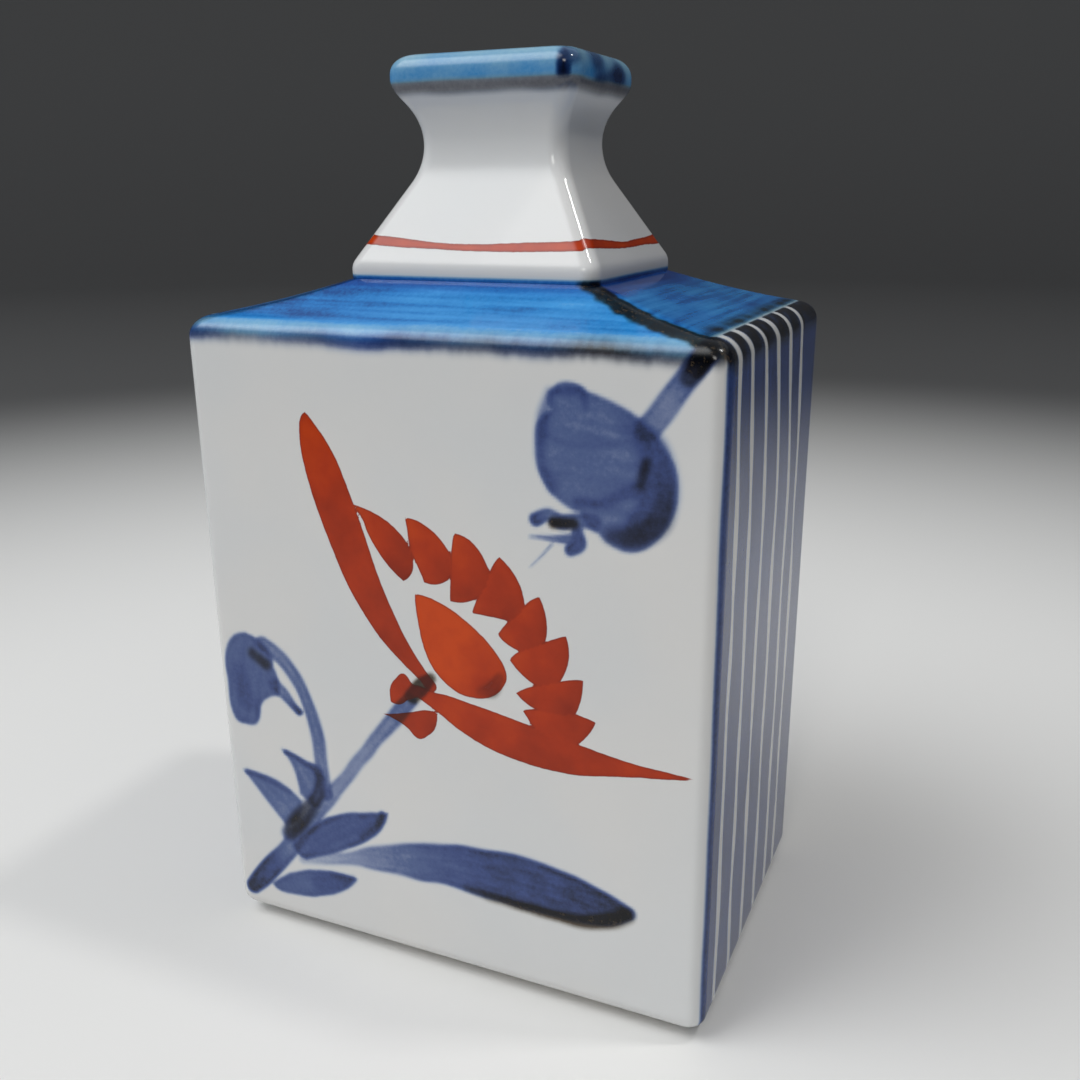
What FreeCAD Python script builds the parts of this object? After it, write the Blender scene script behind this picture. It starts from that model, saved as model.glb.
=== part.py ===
import FreeCAD, Part
import math
import os

from FreeCAD import Vector

# Rectangular sake bottle (kaku tokkuri) in glazed porcelain, millimetres.
# The origin is the middle of the bottle's footprint, at the level that it stands on.
# +Z is up, X runs along the wide faces, and the front face looks along -Y.
#
# The bottle is built from clay slabs luted together: a base with a foot ring under it, four
# walls mitred at the corners, a hipped shoulder that closes them, and a neck whose spigot
# sits in the shoulder's hole. The inside is hollow and open through the neck.
#
# Each outer and inner form is two prisms crossed at a right angle: one has the outline seen
# from the front, the other has the outline seen from the side. The slabs are cut out of the
# hollow shell, so that every pair of neighbours meets face to face.

# Driving dimensions
width = 70.0                # outer size along X
depth = 48.0                # outer size along Y
wall = 3.5                  # thickness of the walls, of the shoulder and of the neck's waist
base_thickness = 4.0
foot_height = 1.2
edge_height = 86.8          # where the body's faces would meet a level top
landing_height = 91.0       # level seat for the neck, on top of the shoulder
waist_height = 106.9        # where the neck is narrowest
lip_low = 114.2             # the lip is widest from here ...
lip_high = 114.8            # ... up to here
neck_foot_half = 16.6       # half widths of the neck along X: at its foot, ...
waist_half = 9.65           # ... at its waist ...
lip_half = 12.45            # ... and across its lip
neck_depth_less = 2.3       # how much less each of those is along Y

# Rounding
corner_round = 2.0          # upright corners, and the ridges of the shoulder
bottom_round = 2.4
top_round = 2.6             # edge between the body's faces and the shoulder
neck_foot_round = 2.4
waist_round_low = 9.0
waist_round_high = 7.8
lip_under_round = 2.8
lip_outer_round = 2.2       # from the lip's face over to its top
lip_inner_round = 2.1       # from the lip's top into the bore
neck_corner_round = 2.0     # corners of the neck, outside, inside and on its spigot
foot_ring_round = 2.4       # outer corners of the foot ring, seen from below

# Joints
roof_start_front = 22.0     # slope of the shoulder at its outer edge in degrees, front and back
roof_start_side = 10.5      # the same slope at the two sides
seam_height = 83.0          # level joint between the four walls and the shoulder
neck_foot_rise = 1.1        # upright step at the bottom of the neck
spigot_half = 13.4          # half width along X of the neck's spigot, and of its hole
spigot_thickness = 2.0
lip_flat = 0.4              # level strip along the top of the lip
foot_inset = 4.6            # from the body's faces in to the foot ring
foot_ring_width = 3.0

# Values worked out from those
cavity_floor = foot_height + base_thickness
lip_top = lip_high + lip_outer_round
spigot_low = landing_height - wall
clear = 30.0                # how far a cutting form stands out past the bottle


def at(centre, radius, angle):
    """Point of a circle in the outline's plane; the angle, in degrees, goes from out to up."""
    turn = math.radians(angle)
    return (centre[0] + radius * math.cos(turn), centre[1] + radius * math.sin(turn))


def place(point):
    return Vector(point[0], 0, point[1])


def line(start, end):
    return Part.LineSegment(place(start), place(end)).toShape()


def arc(centre, radius, first, last):
    start = place(at(centre, radius, first))
    middle = place(at(centre, radius, (first + last) / 2))
    end = place(at(centre, radius, last))
    return Part.Arc(start, middle, end).toShape()


def tangent_angle(centre_a, radius_a, centre_b, radius_b, side):
    """Direction from centre_a to the place where a straight line touches both circles.

    Circles on opposite sides of the line have radii of opposite sign, and a point has a
    radius of 0. The side, +1 or -1, says which of the two such lines is meant.
    """
    across = centre_b[0] - centre_a[0]
    up = centre_b[1] - centre_a[1]
    spread = math.degrees(math.acos((radius_a - radius_b) / math.hypot(across, up)))
    return math.degrees(math.atan2(up, across)) + side * spread


def chain(pieces):
    """Edges of an outline: points, and arcs as (centre, radius, first, last), in order."""
    edges = []
    reached = None
    for piece in pieces:
        if len(piece) == 4:
            centre, radius, first, last = piece
            start = at(centre, radius, first)
            end = at(centre, radius, last)
        else:
            start = piece
            end = piece
        if reached is not None and math.dist(reached, start) > 1e-6:
            edges.append(line(reached, start))
        if len(piece) == 4:
            edges.append(arc(*piece))
        reached = end
    return edges


def prism(half_outline):
    """Solid along Y whose outline is half_outline and its mirror image across the axis."""
    edges = chain(half_outline)
    edges = edges + [edge.mirror(Vector(), Vector(1, 0, 0)) for edge in edges]
    face = Part.Face(Part.Wire(Part.__sortEdges__(edges)))
    solid = face.extrude(Vector(0, 2 * width, 0))
    solid.translate(Vector(0, -width, 0))
    return solid


def crossed(front_outline, side_outline):
    """Form with one outline seen from the front and the other seen from the side."""
    side_prism = prism(side_outline)
    side_prism.rotate(Vector(), Vector(0, 0, 1), 90)
    return prism(front_outline).common(side_prism)


def rounded_corners(form, radius):
    """The form with all its upright corners and sloping ridges rounded."""
    ridges = []
    for edge in form.Edges:
        box = edge.BoundBox
        off_axis = box.XMin * box.XMax > 1e-3 and box.YMin * box.YMax > 1e-3
        if off_axis and box.ZLength > 1e-3:
            ridges.append(edge)
    return form.makeFillet(radius, ridges)


def block(half_x, half_y, low, high):
    return Part.makeBox(2 * half_x, 2 * half_y, high - low, Vector(-half_x, -half_y, low))


def shoulder_slope(half, neck_half, start_slope):
    """Hollow curve of the shoulder, from its rounded outer edge up to the neck."""
    edge_centre = (half - top_round, edge_height - top_round)
    start = at(edge_centre, top_round, 90 - start_slope)
    run = start[0] - neck_half
    mean_slope = math.degrees(math.atan2(landing_height - start[1], run))
    end_slope = 2 * mean_slope - start_slope
    bend = math.sin(math.radians(end_slope)) - math.sin(math.radians(start_slope))
    radius = run / bend
    centre = at(start, radius, 90 - start_slope)
    return edge_centre, centre, radius, end_slope


def body_outline(half, neck_half, start_slope):
    edge_centre, centre, radius, end_slope = shoulder_slope(half, neck_half, start_slope)
    bottom_centre = (half - bottom_round, foot_height + bottom_round)
    return [
        (0, foot_height),
        (bottom_centre, bottom_round, -90, 0),
        (edge_centre, top_round, 0, 90 - start_slope),
        (centre, radius, 270 - start_slope, 270 - end_slope),
        (0, landing_height),
    ]


def cavity_outline(half, neck_half, start_slope):
    """Inside of the body: the shoulder's lower face is parallel to its upper one."""
    edge_centre, centre, radius, end_slope = shoulder_slope(half, neck_half, start_slope)
    lower = radius + wall
    start = 360 - math.degrees(math.acos((half - wall - centre[0]) / lower))
    top = at(centre, lower, 270 - end_slope)
    return [
        (0, cavity_floor),
        (half - wall, cavity_floor),
        (centre, lower, start, 270 - end_slope),
        (0, top[1]),
    ]


def neck_outline(less):
    """Outside of the neck; less is taken off every half width."""
    foot = (neck_foot_half - less - neck_foot_round, landing_height + neck_foot_rise)
    waist_low = (waist_half - less + waist_round_low, waist_height)
    waist_high = (waist_half - less + waist_round_high, waist_height)
    lip_under = (lip_half - less - lip_under_round, lip_low)
    lip = (lip_half - less - lip_outer_round, lip_high)
    low = tangent_angle(foot, neck_foot_round, waist_low, -waist_round_low, -1)
    high = tangent_angle(lip_under, lip_under_round, waist_high, -waist_round_high, 1)
    return [
        (0, landing_height),
        (neck_foot_half - less, landing_height),
        (foot, neck_foot_round, 0, low),
        (waist_low, waist_round_low, 180 + low, 180),
        (waist_high, waist_round_high, 180, 180 + high),
        (lip_under, lip_under_round, high, 0),
        (lip, lip_outer_round, 0, 90),
        (0, lip_top),
    ]


def bore_outline(less):
    """Inside of the neck, from below its spigot to above its lip."""
    bottom = (spigot_half - spigot_thickness - less, landing_height)
    waist_low = (waist_half - less + waist_round_low, waist_height)
    waist_high = (waist_half - less + waist_round_high, waist_height)
    lip = (lip_half - less - lip_outer_round - lip_flat, lip_top - lip_inner_round)
    radius_low = waist_round_low + wall
    radius_high = waist_round_high + wall
    low = 360 + tangent_angle(waist_low, radius_low, bottom, 0, -1)
    high = tangent_angle(waist_high, radius_high, lip, lip_inner_round, 1)
    return [
        (0, cavity_floor),
        (bottom[0], cavity_floor),
        bottom,
        (waist_low, radius_low, low, 180),
        (waist_high, radius_high, 180, high),
        (lip, lip_inner_round, high, 90),
        (lip[0], lip_top + clear),
        (0, lip_top + clear),
    ]


def body_shell():
    """Walls, base and shoulder in one, hollow, with the hole for the neck's spigot."""
    neck_foot_half_y = neck_foot_half - neck_depth_less
    outside = crossed(
        body_outline(width / 2, neck_foot_half, roof_start_side),
        body_outline(depth / 2, neck_foot_half_y, roof_start_front),
    )
    cavity = crossed(
        cavity_outline(width / 2, neck_foot_half, roof_start_side),
        cavity_outline(depth / 2, neck_foot_half_y, roof_start_front),
    )
    hole = block(spigot_half, spigot_half - neck_depth_less, seam_height, landing_height)
    hole = rounded_corners(hole, neck_corner_round)
    return rounded_corners(outside, corner_round).cut(cavity).cut(hole)


def neck():
    outside = crossed(neck_outline(0), neck_outline(neck_depth_less))
    spigot = block(spigot_half, spigot_half - neck_depth_less, spigot_low, landing_height)
    bore = crossed(bore_outline(0), bore_outline(neck_depth_less))
    hollow = outside.fuse(spigot).cut(bore).removeSplitter()
    return rounded_corners(hollow, neck_corner_round)


def mitred_wall(shell, turns):
    """The wall that faces -Y after the bottle is turned by a number of quarter turns."""
    half_x, half_y = (width / 2, depth / 2) if turns % 2 == 0 else (depth / 2, width / 2)
    inward = min(half_x, half_y) - 1
    corners = [
        Vector(-half_x - clear, -half_y - clear, foot_height),
        Vector(half_x + clear, -half_y - clear, foot_height),
        Vector(half_x - inward, -half_y + inward, foot_height),
        Vector(-half_x + inward, -half_y + inward, foot_height),
    ]
    wedge = Part.Face(Part.makePolygon(corners + corners[:1]))
    wedge = wedge.extrude(Vector(0, 0, seam_height - foot_height))
    wedge.rotate(Vector(), Vector(0, 0, 1), 90 * turns)
    return shell.common(wedge).cut(base_slab())


def base_slab():
    return block(width / 2 - wall, depth / 2 - wall, foot_height, cavity_floor)


def shoulder(shell):
    return shell.common(block(width, depth, seam_height, landing_height))


def foot_ring():
    half_x = width / 2 - foot_inset
    half_y = depth / 2 - foot_inset
    outside = block(half_x, half_y, 0, foot_height)
    upright = [edge for edge in outside.Edges if edge.BoundBox.ZLength > foot_height / 2]
    outside = outside.makeFillet(foot_ring_round, upright)
    inside = block(half_x - foot_ring_width, half_y - foot_ring_width, 0, foot_height)
    return outside.cut(inside)


shell = body_shell()
parts = {
    "foot_ring": foot_ring(),
    "base": base_slab(),
    "front_wall": mitred_wall(shell, 0),
    "right_wall": mitred_wall(shell, 1),
    "back_wall": mitred_wall(shell, 2),
    "left_wall": mitred_wall(shell, 3),
    "shoulder": shoulder(shell),
    "neck": neck(),
}

os.makedirs("parts", exist_ok=True)
for name, shape in parts.items():
    solid = shape.Solids[0]
    box = solid.BoundBox
    print(f"{name:12} solids {len(shape.Solids)} valid {solid.isValid()} "
          f"volume {solid.Volume:9.1f} mm3  "
          f"x {box.XMin:.2f} {box.XMax:.2f}  y {box.YMin:.2f} {box.YMax:.2f}  "
          f"z {box.ZMin:.2f} {box.ZMax:.2f}")
    solid.exportStep(f"parts/{name}.step")
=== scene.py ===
import math

import bpy
import numpy as np
from mathutils import Matrix, Vector


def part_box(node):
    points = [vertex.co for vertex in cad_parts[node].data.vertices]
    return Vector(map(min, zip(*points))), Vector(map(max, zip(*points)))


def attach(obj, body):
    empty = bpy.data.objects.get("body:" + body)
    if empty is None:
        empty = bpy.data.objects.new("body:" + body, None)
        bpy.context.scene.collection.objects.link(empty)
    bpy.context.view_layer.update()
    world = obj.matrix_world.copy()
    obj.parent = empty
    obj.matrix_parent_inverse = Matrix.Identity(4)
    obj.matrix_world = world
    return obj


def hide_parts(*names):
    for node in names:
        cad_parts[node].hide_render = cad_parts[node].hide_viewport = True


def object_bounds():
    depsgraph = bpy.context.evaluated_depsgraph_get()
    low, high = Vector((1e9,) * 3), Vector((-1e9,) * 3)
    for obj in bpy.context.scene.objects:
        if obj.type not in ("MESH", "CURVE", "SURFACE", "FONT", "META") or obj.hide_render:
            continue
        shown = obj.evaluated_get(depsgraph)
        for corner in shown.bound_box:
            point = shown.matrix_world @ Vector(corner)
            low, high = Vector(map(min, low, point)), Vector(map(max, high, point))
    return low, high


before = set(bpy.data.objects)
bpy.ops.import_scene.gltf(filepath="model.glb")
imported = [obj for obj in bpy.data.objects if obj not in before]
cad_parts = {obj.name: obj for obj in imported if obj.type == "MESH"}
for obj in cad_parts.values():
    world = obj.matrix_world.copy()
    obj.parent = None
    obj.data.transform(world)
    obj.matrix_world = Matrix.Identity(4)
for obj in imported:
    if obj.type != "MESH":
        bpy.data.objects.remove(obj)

# Looks of the rectangular sake bottle: porcelain with underglaze blue and iron, red enamel, and
# a clear glaze over all of it but the foot. Every visible patch of the outside comes from one
# net of points, so neighbouring pieces meet with no step. The shine runs on over the joints,
# except at the foot of the neck, which is a sharp inner edge.
#
# Lengths in this script are millimetres in the CAD frame until a mesh is made from them.
# Each side of the bottle has its own coordinates: across (to the right, seen from outside),
# height, and inward (how far a point lies behind the plane of that side's wall).

cad_low, cad_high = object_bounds()
MM = 0.001

# Sizes read from the frame
half_width = cad_high.x / MM
half_depth = cad_high.y / MM
foot_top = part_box("base")[0].z / MM
seam_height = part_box("front_wall")[1].z / MM
landing_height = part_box("shoulder")[1].z / MM
spigot_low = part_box("neck")[0].z / MM
lip_top = cad_high.z / MM

# Sizes repeated from the CAD model
wall = 3.5
edge_height = 86.8
waist_height = 106.9
lip_low = 114.2
lip_high = 114.8
neck_foot_half = 16.6
waist_half = 9.65
lip_half = 12.45
neck_depth_less = 2.3
spigot_half = 13.4
spigot_thickness = 2.0
neck_foot_rise = 1.1
corner_round = 2.0
bottom_round = 2.4
top_round = 2.6
neck_foot_round = 2.4
waist_round_low = 9.0
waist_round_high = 7.8
lip_under_round = 2.8
lip_outer_round = 2.2
lip_inner_round = 2.1
lip_flat = 0.4
roof_start_front = 22.0
roof_start_side = 10.5

# Fineness of the net
spacing = 0.32              # between points of the net, where it is widest
corner_steps = 6            # columns in half an upright corner
neck_stride = 2             # the neck uses every second column

# ------------------------------------------------------------------ camera, light and stage

camera_place = Vector((63.0, -134.35, 101.47)) * MM
camera_heading = 24.02      # degrees, from +Y towards -X
camera_pitch = 17.5         # degrees, downwards
camera_roll = -0.44
camera_lens = 37.09         # on a sensor 36 mm wide


def make_camera():
    data = bpy.data.cameras.new("camera")
    data.lens = camera_lens
    data.sensor_width = 36.0
    data.clip_start = 0.01
    camera = bpy.data.objects.new("camera", data)
    turn = Matrix.Rotation(math.radians(camera_heading), 4, "Z")
    tilt = Matrix.Rotation(math.radians(90 - camera_pitch), 4, "X")
    roll = Matrix.Rotation(math.radians(camera_roll), 4, "Z")
    camera.matrix_world = Matrix.Translation(camera_place) @ turn @ tilt @ roll
    bpy.context.collection.objects.link(camera)
    bpy.context.scene.camera = camera


def softbox(name, place, size, power, colour, feather):
    """Square area lamp that faces the middle of the bottle, with feathered edges."""
    data = bpy.data.lights.new(name, "AREA")
    data.size = size
    data.energy = power
    data.color = colour
    lamp = bpy.data.objects.new(name, data)
    lamp.location = Vector(place)
    target = Vector((0, 0, lip_top * MM / 2))
    lamp.rotation_euler = (target - lamp.location).to_track_quat("-Z", "Y").to_euler()
    bpy.context.collection.objects.link(lamp)
    data.use_nodes = True
    n = Nodes(data.node_tree)
    place_on_lamp = n.add("NewGeometry").outputs["Parametric"]
    axes = n.add("SeparateXYZ", Vector=place_on_lamp).outputs
    fades = []
    for axis in range(2):
        off_middle = n.math("ABSOLUTE", n.math("SUBTRACT", axes[axis], 0.5))
        fades.append(n.step(off_middle, 0.5, 0.5 - feather))
    n.feed(n.tree.nodes["Emission"].inputs["Strength"], n.times(*fades))


def make_stage():
    """Round floor, pale round the bottle, that curves up into a wall all the way round."""
    floor_radius = 1.2
    curve_radius = 0.6
    wall_height = 1.6
    steps = 64
    outline = [(0.0, 0.0), (0.3, 0.0), (floor_radius, 0.0)]
    for angle in np.radians(np.linspace(-80, 0, 9)):
        outline.append((floor_radius + curve_radius * math.cos(angle),
                        curve_radius + curve_radius * math.sin(angle)))
    outline.append((floor_radius + curve_radius, wall_height))
    points = [(0.0, 0.0, 0.0)]
    faces = []
    for radius, height in outline[1:]:
        for angle in np.linspace(0, 2 * math.pi, steps, endpoint=False):
            points.append((radius * math.cos(angle), radius * math.sin(angle), height))
    for j in range(steps):
        following = (j + 1) % steps
        faces.append((0, 1 + j, 1 + following))
        for i in range(len(outline) - 2):
            low = 1 + i * steps
            high = low + steps
            faces.append((low + j, high + j, high + following, low + following))
    mesh = bpy.data.meshes.new("studio_floor")
    mesh.from_pydata(points, [], faces)
    mesh.shade_smooth()
    stage = bpy.data.objects.new("studio_floor", mesh)
    bpy.context.collection.objects.link(stage)
    return stage


def make_light():
    softbox("key", (-0.60, -0.55, 1.15), 1.3, 29.0, (0.97, 0.99, 1.0), 0.35)
    softbox("front", (0.20, -1.00, 0.80), 0.40, 5.0, (1.0, 0.97, 0.93), 0.20)
    softbox("ceiling", (0.505, 0.17, 1.18), 0.12, 4.0, (1.0, 0.99, 0.97), 0.20)
    world = bpy.data.worlds.new("world")
    world.use_nodes = True
    sky = world.node_tree.nodes["Background"]
    sky.inputs["Color"].default_value = (0.90, 0.94, 1.0, 1.0)
    sky.inputs["Strength"].default_value = 0.42
    bpy.context.scene.world = world
    bpy.context.scene.view_settings.view_transform = "Standard"


# ------------------------------------------------------------------------------- materials

class Nodes:
    """Short calls that add nodes to a tree."""

    def __init__(self, tree):
        self.tree = tree

    def add(self, kind, settings=None, **inputs):
        node = self.tree.nodes.new("ShaderNode" + kind)
        for key, value in (settings or {}).items():
            setattr(node, key, value)
        for key, value in inputs.items():
            self.feed(node.inputs[key.replace("_", " ")], value)
        return node

    def feed(self, socket, value):
        if isinstance(value, bpy.types.NodeSocket):
            self.tree.links.new(value, socket)
        else:
            socket.default_value = value

    def math(self, operation, first, second=0.0, clamp=False):
        node = self.add("Math", {"operation": operation, "use_clamp": clamp})
        self.feed(node.inputs[0], first)
        self.feed(node.inputs[1], second)
        return node.outputs[0]

    def plus(self, first, second):
        return self.math("ADD", first, second)

    def times(self, first, second, clamp=False):
        return self.math("MULTIPLY", first, second, clamp)

    def noise(self, scale, detail=2.0, roughness=0.5, vector=None):
        """Noise around 0, from about -0.5 to 0.5; the scale is in features per metre."""
        vector = vector or self.add("TexCoord").outputs["Object"]
        node = self.add("TexNoise", Vector=vector, Scale=scale, Detail=detail,
                        Roughness=roughness)
        return self.math("SUBTRACT", node.outputs["Fac"], 0.5)

    def ramp(self, value, stops):
        """Colour by value; a stop is (value, colour)."""
        node = self.add("ValToRGB", Fac=value)
        elements = node.color_ramp.elements
        while len(elements) < len(stops):
            elements.new(0.5)
        for element, (position, colour) in zip(elements, stops):
            element.position = position
            element.color = (*colour, 1.0)
        return node.outputs["Color"]

    def mix(self, factor, first, second, blend="MIX"):
        node = self.add("Mix", {"data_type": "RGBA", "blend_type": blend})
        self.feed(node.inputs[0], factor)
        self.feed(node.inputs[6], first)
        self.feed(node.inputs[7], second)
        return node.outputs[2]

    def paint(self, name):
        return self.add("Attribute", {"attribute_name": name}).outputs["Fac"]

    def step(self, value, low, high):
        """0 below low, 1 above high, and a smooth rise between them."""
        node = self.add("MapRange", {"interpolation_type": "SMOOTHSTEP"}, Value=value,
                        From_Min=low, From_Max=high)
        return node.outputs[0]

    def finish(self, colour, roughness, height, **constants):
        """Principled surface; height is in metres."""
        bump = self.add("Bump", Height=height, Strength=1.0, Distance=1.0)
        shader = self.add("BsdfPrincipled", Base_Color=colour, Roughness=roughness,
                          Normal=bump.outputs[0], **constants)
        self.add("OutputMaterial", Surface=shader.outputs[0])


def new_material(name):
    material = bpy.data.materials.new(name)
    material.use_nodes = True
    material.node_tree.nodes.clear()
    return material, Nodes(material.node_tree)


red_reach = 1.5             # the red attribute goes from 0 to 1 over twice this distance

cobalt_wash = [
    (0.00, (1.0, 1.0, 1.0)),
    (0.14, (0.73, 0.79, 0.90)),
    (0.33, (0.34, 0.41, 0.64)),
    (0.52, (0.13, 0.19, 0.42)),
    (0.72, (0.07, 0.11, 0.32)),
    (0.88, (0.04, 0.06, 0.16)),
    (1.00, (0.02, 0.025, 0.05)),
]
azure_wash = [
    (0.00, (1.0, 1.0, 1.0)),
    (0.30, (0.42, 0.76, 0.98)),
    (0.60, (0.07, 0.42, 0.95)),
    (0.82, (0.025, 0.28, 0.76)),
    (1.00, (0.012, 0.12, 0.42)),
]
iron_wash = [
    (0.00, (1.0, 1.0, 1.0)),
    (0.30, (0.52, 0.50, 0.47)),
    (0.65, (0.15, 0.115, 0.085)),
    (1.00, (0.026, 0.019, 0.013)),
]


def glazed_porcelain():
    """White porcelain, pigments under the glaze and red enamel on it, as the net says."""
    material, n = new_material("glazed_porcelain")
    drift = n.noise(45.0, 2.0)
    white = n.mix(n.step(drift, -0.2, 0.2), (0.70, 0.695, 0.685, 1), (0.67, 0.68, 0.685, 1))

    # Rare iron specks in the body, about 0.3 mm across
    cells = n.add("TexVoronoi", Vector=n.add("TexCoord").outputs["Object"], Scale=110.0)
    dot = n.math("LESS_THAN", cells.outputs["Distance"], 0.022)
    kept = n.add("SeparateColor", Color=cells.outputs["Color"]).outputs[0]
    speck = n.times(dot, n.math("GREATER_THAN", kept, 0.80))
    white = n.mix(n.times(speck, 0.6), white, (0.22, 0.20, 0.17, 1))

    # Pigments: a coarse and a fine grain make each wash uneven
    coarse = n.noise(260.0, 3.0)
    fine = n.noise(1900.0, 3.0, 0.65)
    grain = n.plus(n.times(coarse, 0.30), n.times(fine, 0.34))
    uneven = n.plus(1.0, grain)
    cobalt = n.times(n.paint("cobalt"), uneven, clamp=True)
    azure = n.times(n.paint("azure"), uneven, clamp=True)
    iron = n.times(n.paint("iron"), uneven, clamp=True)
    pigment = n.mix(1.0, n.ramp(cobalt, cobalt_wash), n.ramp(azure, azure_wash), "MULTIPLY")
    pigment = n.mix(1.0, pigment, n.ramp(iron, iron_wash), "MULTIPLY")
    under = n.mix(1.0, white, pigment, "MULTIPLY")
    crystals = n.times(n.step(fine, 0.06, 0.16), n.step(iron, 0.55, 0.85))
    under = n.mix(n.times(crystals, 0.35), under, (0.12, 0.085, 0.05, 1))

    # Red enamel: a crisp, faintly ragged edge, darker where the brush left a ridge
    inside = n.times(n.math("SUBTRACT", n.paint("red"), 0.5), 2 * red_reach)
    ragged = n.times(n.noise(900.0, 2.0), 0.14)
    inside = n.plus(inside, ragged)
    cover = n.step(inside, -0.05, 0.06)
    depth = n.plus(n.paint("red_tone"), n.times(coarse, 0.8))
    enamel = n.ramp(depth, [(0.0, (0.58, 0.058, 0.002)), (0.45, (0.41, 0.031, 0.002)),
                            (1.0, (0.19, 0.013, 0.002))])
    ridge = n.step(inside, 0.30, 0.05)
    enamel = n.mix(n.times(ridge, 0.55), enamel, (0.16, 0.012, 0.003, 1))
    veiled = n.mix(0.85, (1, 1, 1, 1), pigment)
    enamel = n.mix(1.0, enamel, veiled, "MULTIPLY")
    colour = n.mix(cover, under, enamel)

    # Shine: slow waves in the glaze, and the enamel stands up a little and is less glossy
    waves = n.times(n.noise(75.0, 1.0), 0.00007)
    peel = n.times(n.noise(420.0, 2.0), 0.000004)
    relief = n.times(cover, 0.00002)
    height = n.plus(n.plus(waves, peel), relief)
    dull = n.plus(n.times(cover, 0.14), n.times(iron, 0.10))
    roughness = n.plus(n.plus(0.09, n.times(coarse, 0.05)), dull)
    n.finish(colour, roughness, height, IOR=1.5, Specular_IOR_Level=0.28)
    return material


def bare_clay():
    """Unglazed foot: warm, matt and sandy, with a greyer rub where it stands."""
    material, n = new_material("bare_clay")
    grit = n.noise(2600.0, 4.0, 0.7)
    patches = n.noise(140.0, 3.0)
    colour = n.mix(n.step(patches, -0.15, 0.2), (0.66, 0.58, 0.48, 1), (0.74, 0.68, 0.60, 1))
    colour = n.mix(n.step(grit, 0.12, 0.25), colour, (0.42, 0.33, 0.24, 1))
    height = n.times(grit, 0.00006)
    roughness = n.plus(0.78, n.times(patches, 0.2))
    n.finish(colour, roughness, height)
    return material


def pale_floor():
    material, n = new_material("pale_floor")
    pale = n.mix(n.step(n.noise(3.0), -0.3, 0.3), (0.80, 0.79, 0.77, 1), (0.78, 0.775, 0.76, 1))
    # Darker far away, so that the glaze doesn't milk over where it is seen edge-on
    place = n.add("TexCoord").outputs["Object"]
    far = n.add("VectorMath", {"operation": "LENGTH"}, Vector=place).outputs["Value"]
    colour = n.mix(n.step(far, 0.12, 0.52), pale, (0.08, 0.08, 0.08, 1))
    n.finish(colour, 0.6, n.times(n.noise(500.0), 0.00001))
    return material


# -------------------------------------------------------------------- the net of the outside

def arc(centre, radius, first, last, steps=25):
    angles = np.radians(np.linspace(first, last, steps))
    return np.column_stack([centre[0] + radius * np.cos(angles),
                            centre[1] + radius * np.sin(angles)])


def evenly(outline, step):
    """The same outline with its points a steady distance apart."""
    lengths = np.hypot(*np.diff(outline, axis=0).T)
    reached = np.concatenate([[0], np.cumsum(lengths)])
    wanted = np.linspace(0, reached[-1], round(reached[-1] / step) + 1)
    return np.column_stack([np.interp(wanted, reached, outline[:, i]) for i in range(2)])


def tangent_angle(centre_a, radius_a, centre_b, radius_b, side):
    """Direction from centre_a to where a straight line touches both circles."""
    across = centre_b[0] - centre_a[0]
    up = centre_b[1] - centre_a[1]
    spread = math.degrees(math.acos((radius_a - radius_b) / math.hypot(across, up)))
    return math.degrees(math.atan2(up, across)) + side * spread


def wall_outline(half):
    bottom = arc((half - bottom_round, foot_top + bottom_round), bottom_round, -90, 0)
    return np.vstack([bottom, [(half, seam_height)]])


def shoulder_outline(half, neck_half, start_slope):
    edge = arc((half - top_round, edge_height - top_round), top_round, 0, 90 - start_slope)
    start = edge[-1]
    run = start[0] - neck_half
    mean_slope = math.degrees(math.atan2(landing_height - start[1], run))
    end_slope = 2 * mean_slope - start_slope
    radius = run / (math.sin(math.radians(end_slope)) - math.sin(math.radians(start_slope)))
    away = math.radians(90 - start_slope)
    centre = (start[0] + radius * math.cos(away), start[1] + radius * math.sin(away))
    hollow = arc(centre, radius, 270 - start_slope, 270 - end_slope)
    return np.vstack([[(half, seam_height)], edge, hollow])


def neck_outline():
    """Up the outside of the neck, over its lip and down inside to the spigot's end."""
    foot = (neck_foot_half - neck_foot_round, landing_height + neck_foot_rise)
    waist_low = (waist_half + waist_round_low, waist_height)
    waist_high = (waist_half + waist_round_high, waist_height)
    lip_under = (lip_half - lip_under_round, lip_low)
    lip = (lip_half - lip_outer_round, lip_high)
    lip_in = (lip[0] - lip_flat, lip_top - lip_inner_round)
    mouth = (spigot_half - spigot_thickness, landing_height)
    inner_low = waist_round_low + wall
    inner_high = waist_round_high + wall
    low = tangent_angle(foot, neck_foot_round, waist_low, -waist_round_low, -1)
    high = tangent_angle(lip_under, lip_under_round, waist_high, -waist_round_high, 1)
    bore_low = 360 + tangent_angle(waist_low, inner_low, mouth, 0, -1)
    bore_high = tangent_angle(waist_high, inner_high, lip_in, lip_inner_round, 1)
    return np.vstack([
        [(neck_foot_half, landing_height)],
        arc(foot, neck_foot_round, 0, low),
        arc(waist_low, waist_round_low, 180 + low, 180),
        arc(waist_high, waist_round_high, 180, 180 + high),
        arc(lip_under, lip_under_round, high, 0),
        arc(lip, lip_outer_round, 0, 90),
        arc(lip_in, lip_inner_round, 90, bore_high),
        arc(waist_high, inner_high, bore_high, 180),
        arc(waist_low, inner_low, 180, bore_low),
        [mouth, (mouth[0], spigot_low)],
    ])


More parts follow.
